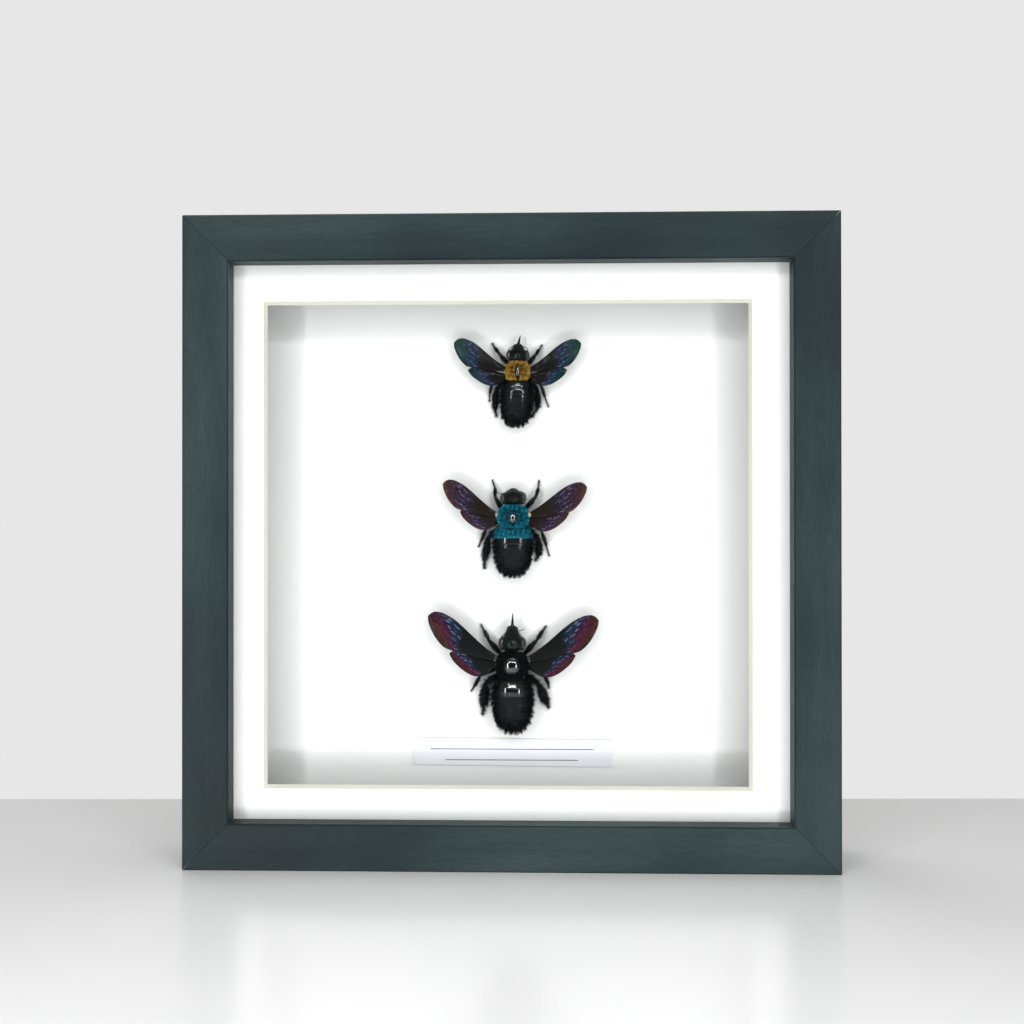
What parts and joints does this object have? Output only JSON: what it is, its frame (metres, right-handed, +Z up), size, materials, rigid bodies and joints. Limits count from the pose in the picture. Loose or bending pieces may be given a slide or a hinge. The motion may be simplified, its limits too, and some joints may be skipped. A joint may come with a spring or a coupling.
{
  "type": "framed carpenter bee specimen",
  "caption": "Square charcoal box frame with glass and a white bevelled mat, holding spread carpenter bees above a blank label.",
  "frame": {"origin": "middle of the underside of the frame, where it rests", "axes": "+Z up, +X to the viewer's right, the glazed front faces -Y and the back faces +Y"},
  "size_m": [0.205, 0.036, 0.205],
  "materials": {
    "charcoal_wood": "satin charcoal stain",
    "glass": "clear picture glass",
    "mat_card": "smooth white card",
    "spacer_board": "grey board strips",
    "display_card": "smooth white card",
    "label_paper": "white paper",
    "brown_board": "bare fibre board",
    "zinc_steel": "zinc plated",
    "black_shell": "glossy insect shell",
    "yellow_pile": "dense yellow hair",
    "blue_pile": "dense blue hair",
    "black_pile": "short black hair",
    "yellow_wing": "teal iridescent membrane",
    "blue_wing": "copper and purple membrane",
    "black_wing": "magenta and blue membrane"
  },
  "bodies": {
    "root": {"frame_rail_top": "charcoal_wood", "frame_rail_bottom": "charcoal_wood", "frame_stile_left": "charcoal_wood", "frame_stile_right": "charcoal_wood", "glass_pane": "glass", "mat": "mat_card", "spacer_top": "spacer_board", "spacer_bottom": "spacer_board", "spacer_left": "spacer_board", "spacer_right": "spacer_board", "display_board": "display_card", "label": "label_paper", "back_board": "brown_board", "back_tab_top": "zinc_steel", "back_tab_bottom": "zinc_steel", "back_tab_left": "zinc_steel", "back_tab_right": "zinc_steel", "sawtooth_hanger": "zinc_steel", "hanger_screw_left": "zinc_steel", "hanger_screw_right": "zinc_steel", "yellow_bee_head": "black_shell", "yellow_bee_thorax": "yellow_pile", "yellow_bee_abdomen": "black_shell", "yellow_bee_forewing_left": "yellow_wing", "yellow_bee_forewing_right": "yellow_wing", "yellow_bee_hindwing_left": "yellow_wing", "yellow_bee_hindwing_right": "yellow_wing", "yellow_bee_leg_fore_left": "black_shell", "yellow_bee_leg_fore_right": "black_shell", "yellow_bee_leg_mid_left": "black_shell", "yellow_bee_leg_mid_right": "black_shell", "yellow_bee_leg_hind_left": "black_shell", "yellow_bee_leg_hind_right": "black_shell", "blue_bee_head": "black_shell", "blue_bee_thorax": "blue_pile", "blue_bee_abdomen": "black_shell", "blue_bee_forewing_left": "blue_wing", "blue_bee_forewing_right": "blue_wing", "blue_bee_hindwing_left": "blue_wing", "blue_bee_hindwing_right": "blue_wing", "blue_bee_leg_fore_left": "black_shell", "blue_bee_leg_fore_right": "black_shell", "blue_bee_leg_mid_left": "black_shell", "blue_bee_leg_mid_right": "black_shell", "blue_bee_leg_hind_left": "black_shell", "blue_bee_leg_hind_right": "black_shell", "black_bee_head": "black_shell", "black_bee_thorax": "black_pile", "black_bee_abdomen": "black_shell", "black_bee_forewing_left": "black_wing", "black_bee_forewing_right": "black_wing", "black_bee_hindwing_left": "black_wing", "black_bee_hindwing_right": "black_wing", "black_bee_leg_fore_left": "black_shell", "black_bee_leg_fore_right": "black_shell", "black_bee_leg_mid_left": "black_shell", "black_bee_leg_mid_right": "black_shell", "black_bee_leg_hind_left": "black_shell", "black_bee_leg_hind_right": "black_shell"}
  },
  "joints": []
}
